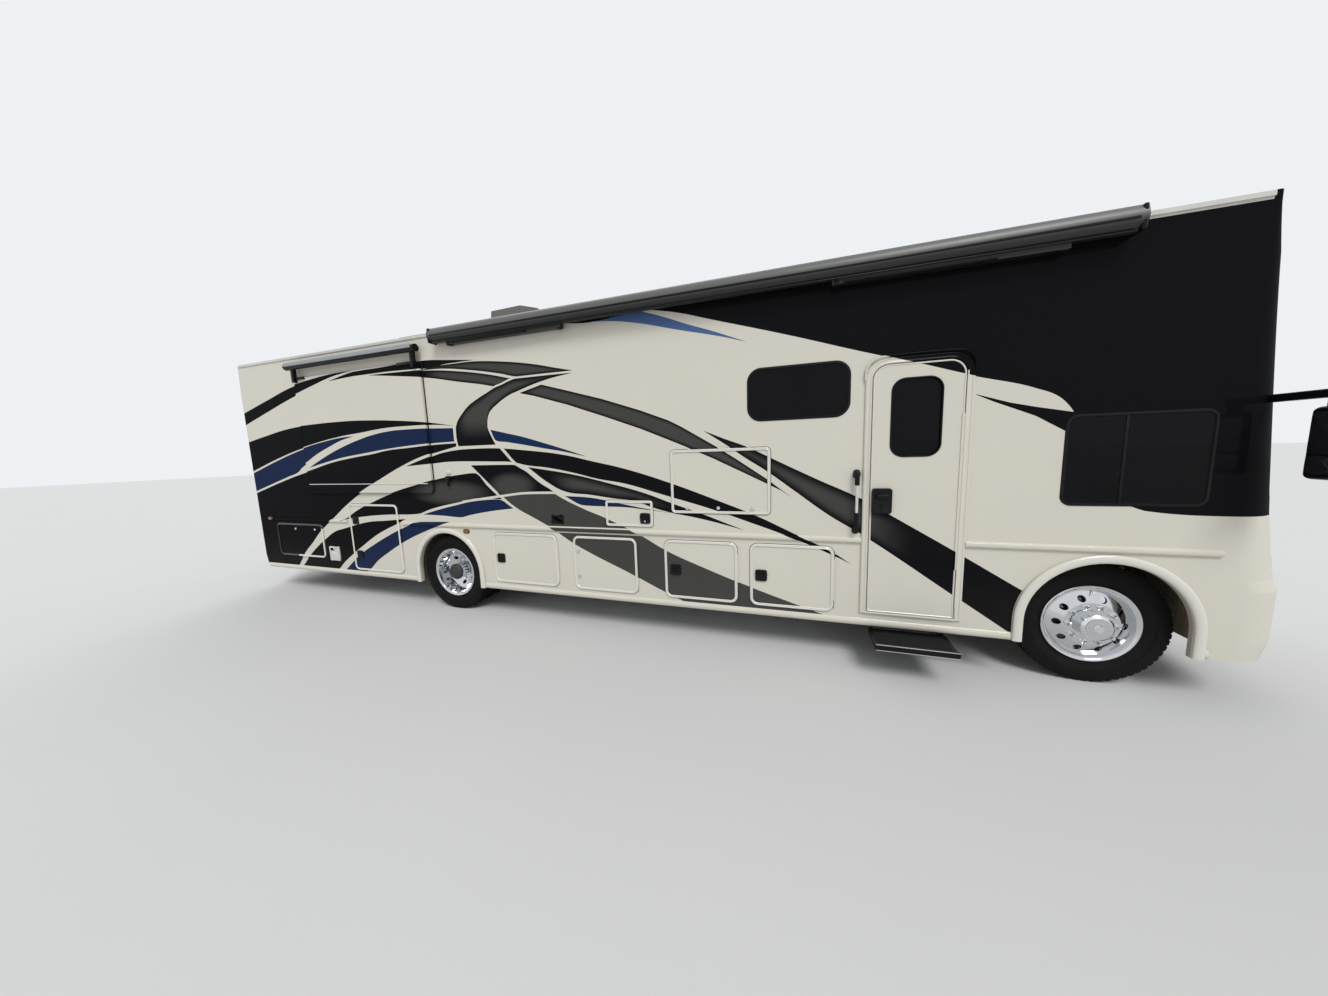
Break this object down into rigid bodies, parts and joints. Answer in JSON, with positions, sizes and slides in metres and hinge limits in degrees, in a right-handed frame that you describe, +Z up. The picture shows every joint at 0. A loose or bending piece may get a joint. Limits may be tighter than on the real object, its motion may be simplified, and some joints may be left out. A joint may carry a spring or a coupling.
{
  "type": "motorhome",
  "caption": "Long box-bodied motorhome on a truck chassis: tall windscreen cap, slide-out rooms, baggage doors, awning, rear ladder, steered front axle and twin-wheel rear axle.",
  "frame": {"origin": "on the ground under the middle of the overall length and width", "axes": "+X forward, +Y to the driver's side (left), +Z up; the entry door is on -Y"},
  "size_m": [11.1231, 3.285, 3.7998],
  "materials": {
    "body_paint": "gloss gelcoat paint",
    "roof_skin": "matt membrane",
    "trim_metal": "satin",
    "bright_trim": "polished",
    "glass_tint": "tinted",
    "lamp_lens": "clear lens",
    "tail_lens": "red lens",
    "dark_plastic": "moulded",
    "white_plastic": "moulded",
    "tyre_rubber": "matt",
    "chassis_black": "black chassis paint",
    "cast_parts": "as cast",
    "wheel_metal": "polished",
    "cabinet_wood": "varnished",
    "seat_cloth": "woven",
    "tank_plastic": "moulded",
    "awning_black": "satin black",
    "deck_board": "sealed"
  },
  "bodies": {
    "coach": {"right_wall": "body_paint", "left_wall": "body_paint", "front_cap": "body_paint", "rear_cap": "body_paint", "mirrors": "body_paint", "side_windows": "glass_tint", "windshield": "glass_tint", "headlamps": "lamp_lens", "grille": "dark_plastic", "front_bumper": "body_paint", "tail_lamps": "tail_lens", "rear_bumper": "body_paint", "ladder": "trim_metal", "roof": "roof_skin", "roof_air_conditioner": "white_plastic", "roof_vents": "dark_plastic", "awning": "awning_black", "floor": "deck_board", "baggage_bays": "trim_metal", "chassis_frame": "chassis_black", "chassis_members": "chassis_black", "engine_block": "cast_parts", "driveline": "cast_parts", "tanks": "tank_plastic", "front_axle": "cast_parts", "rear_axle": "cast_parts", "dash": "dark_plastic", "cab_seats": "seat_cloth", "cabinets": "cabinet_wood"},
    "baggage_door_1": {"baggage_door_1": "body_paint"},
    "baggage_door_2": {"baggage_door_2": "body_paint"},
    "baggage_door_3": {"baggage_door_3": "body_paint"},
    "baggage_door_4": {"baggage_door_4": "body_paint"},
    "rear_tall_door": {"rear_tall_door": "body_paint"},
    "far_rear_door": {"far_rear_door": "body_paint"},
    "small_side_door": {"small_side_door": "body_paint"},
    "outside_screen_door": {"outside_screen_door": "body_paint"},
    "left_baggage_door_1": {"left_baggage_door_1": "body_paint"},
    "left_baggage_door_2": {"left_baggage_door_2": "body_paint"},
    "left_rear_door": {"left_rear_door": "body_paint"},
    "entry_door": {"entry_door": "body_paint", "entry_door_window": "glass_tint"},
    "bedroom_slide": {"bedroom_slide_out": "body_paint", "bedroom_slide_topper": "awning_black"},
    "living_slide": {"living_slide_out": "body_paint", "living_slide_topper": "awning_black", "slide_out_windows": "glass_tint"},
    "entry_step": {"entry_step": "awning_black"},
    "knuckle_left": {"knuckle_left": "cast_parts"},
    "knuckle_right": {"knuckle_right": "cast_parts"},
    "front_wheel_left": {"front_tyre_left": "tyre_rubber", "front_rim_left": "wheel_metal"},
    "front_wheel_right": {"front_tyre_right": "tyre_rubber", "front_rim_right": "wheel_metal"},
    "rear_wheels_left": {"rear_tyres_left": "tyre_rubber", "rear_rims_left": "wheel_metal"},
    "rear_wheels_right": {"rear_tyres_right": "tyre_rubber", "rear_rims_right": "wheel_metal"},
    "tie_rod": {"tie_rod": "chassis_black"},
    "steering_wheel": {"steering_wheel": "dark_plastic"}
  },
  "joints": [
    {"name": "steer_left", "type": "hinge", "parent": "coach", "child": "knuckle_left", "pos_m": [4.4435, 0.9055, 0.468], "axis": [0, 0, 1], "range_deg": [-40, 40]},
    {"name": "front_left_spin", "type": "hinge", "parent": "knuckle_left", "child": "front_wheel_left", "pos_m": [4.4435, 1.0305, 0.468], "axis": [0, 1, 0], "continuous": true},
    {"name": "rear_left_spin", "type": "hinge", "parent": "coach", "child": "rear_wheels_left", "pos_m": [-1.7035, 1.0925, 0.468], "axis": [0, 1, 0], "continuous": true},
    {"name": "steer_right", "type": "hinge", "parent": "coach", "child": "knuckle_right", "pos_m": [4.4435, -0.9055, 0.468], "axis": [0, 0, 1], "range_deg": [-40, 40]},
    {"name": "front_right_spin", "type": "hinge", "parent": "knuckle_right", "child": "front_wheel_right", "pos_m": [4.4435, -1.0305, 0.468], "axis": [0, 1, 0], "continuous": true},
    {"name": "rear_right_spin", "type": "hinge", "parent": "coach", "child": "rear_wheels_right", "pos_m": [-1.7035, -1.0925, 0.468], "axis": [0, 1, 0], "continuous": true},
    {"name": "tie_rod_pivot", "type": "hinge", "parent": "knuckle_left", "child": "tie_rod", "pos_m": [4.2735, 0.9055, 0.314], "axis": [0, 0, 1], "range_deg": [-40, 40]},
    {"name": "steering_wheel_turn", "type": "hinge", "parent": "coach", "child": "steering_wheel", "pos_m": [4.6765, 0.56, 1.56], "axis": [-0.8192, 0, 0.5736], "range_deg": [-725, 725]},
    {"name": "baggage_door_1_hinge", "type": "hinge", "parent": "coach", "child": "baggage_door_1", "pos_m": [-0.1355, -1.2655, 0.7225], "axis": [0, 0, 1], "range_deg": [0, 100]},
    {"name": "baggage_door_2_hinge", "type": "hinge", "parent": "coach", "child": "baggage_door_2", "pos_m": [0.8045, -1.2655, 0.7225], "axis": [0, 0, 1], "range_deg": [0, 100]},
    {"name": "baggage_door_3_hinge", "type": "hinge", "parent": "coach", "child": "baggage_door_3", "pos_m": [1.8145, -1.2655, 0.7225], "axis": [0, 0, 1], "range_deg": [0, 100]},
    {"name": "baggage_door_4_hinge", "type": "hinge", "parent": "coach", "child": "baggage_door_4", "pos_m": [2.6445, -1.2655, 0.7225], "axis": [0, 0, 1], "range_deg": [0, 100]},
    {"name": "rear_tall_door_hinge", "type": "hinge", "parent": "coach", "child": "rear_tall_door", "pos_m": [-2.4605, -1.2655, 0.8665], "axis": [0, 0, 1], "range_deg": [0, 165]},
    {"name": "far_rear_door_hinge", "type": "hinge", "parent": "coach", "child": "far_rear_door", "pos_m": [-4.451, -1.2655, 0.532], "axis": [1, 0, 0], "range_deg": [0, 90]},
    {"name": "small_side_door_hinge", "type": "hinge", "parent": "coach", "child": "small_side_door", "pos_m": [0.4635, -1.2655, 1.2675], "axis": [0, 0, -1], "range_deg": [0, 165]},
    {"name": "outside_screen_door_hinge", "type": "hinge", "parent": "coach", "child": "outside_screen_door", "pos_m": [1.644, -1.2655, 1.893], "axis": [-1, 0, 0], "range_deg": [0, 90]},
    {"name": "left_baggage_door_1_hinge", "type": "hinge", "parent": "coach", "child": "left_baggage_door_1", "pos_m": [0.0545, 1.2655, 0.7225], "axis": [0, 0, -1], "range_deg": [0, 165]},
    {"name": "left_baggage_door_2_hinge", "type": "hinge", "parent": "coach", "child": "left_baggage_door_2", "pos_m": [2.6445, 1.2655, 0.7225], "axis": [0, 0, -1], "range_deg": [0, 165]},
    {"name": "left_rear_door_hinge", "type": "hinge", "parent": "coach", "child": "left_rear_door", "pos_m": [-2.4605, 1.2655, 0.7225], "axis": [0, 0, -1], "range_deg": [0, 165]},
    {"name": "entry_door_hinge", "type": "hinge", "parent": "coach", "child": "entry_door", "pos_m": [3.5245, -1.2775, 1.48], "axis": [0, 0, 1], "range_deg": [0, 160]},
    {"name": "bedroom_slide_travel", "type": "slide", "parent": "coach", "child": "bedroom_slide", "axis": [0, -1, 0], "range_m": [0, 0.61]},
    {"name": "living_slide_travel", "type": "slide", "parent": "coach", "child": "living_slide", "axis": [0, 1, 0], "range_m": [0, 0.76]},
    {"name": "entry_step_travel", "type": "slide", "parent": "coach", "child": "entry_step", "axis": [0, -1, 0], "range_m": [-0.3, 0]}
  ],
  "couplings": [
    {"joint": "steer_right", "follows": "steer_left", "ratio": 1},
    {"joint": "tie_rod_pivot", "follows": "steer_left", "ratio": -1},
    {"joint": "steering_wheel_turn", "follows": "steer_left", "ratio": 18}
  ]
}
